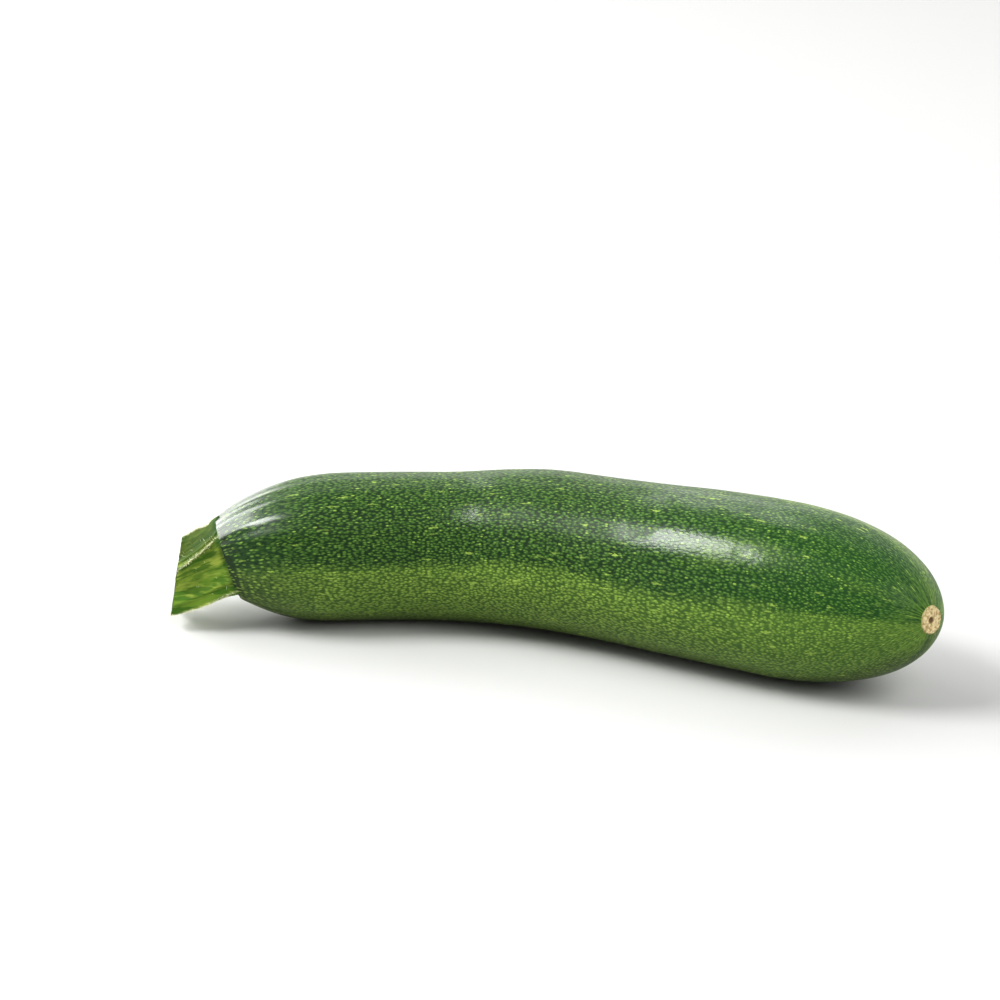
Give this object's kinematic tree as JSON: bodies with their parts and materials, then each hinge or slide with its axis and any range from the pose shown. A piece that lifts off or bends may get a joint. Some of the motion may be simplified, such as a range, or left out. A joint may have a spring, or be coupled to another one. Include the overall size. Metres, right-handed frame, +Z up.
{
  "type": "courgette",
  "caption": "Whole fresh courgette, gently bowed, with its cut ribbed stem and a corky blossom scar, lying on its side.",
  "frame": {"origin": "on the surface it lies on, below the middle of the box around the whole courgette", "axes": "+X along its length from the cut stem to the blossom end, +Y towards the outer side of its bow, +Z up"},
  "size_m": [0.2088, 0.0592, 0.045],
  "materials": {
    "waxy_green_skin": null,
    "pale_green_stem": null,
    "dry_cork": "Matt, crumbly tan cork with a brown pit in its middle."
  },
  "bodies": {
    "root": {"fruit": "waxy_green_skin", "stem": "pale_green_stem", "blossom_scar": "dry_cork"}
  },
  "joints": []
}
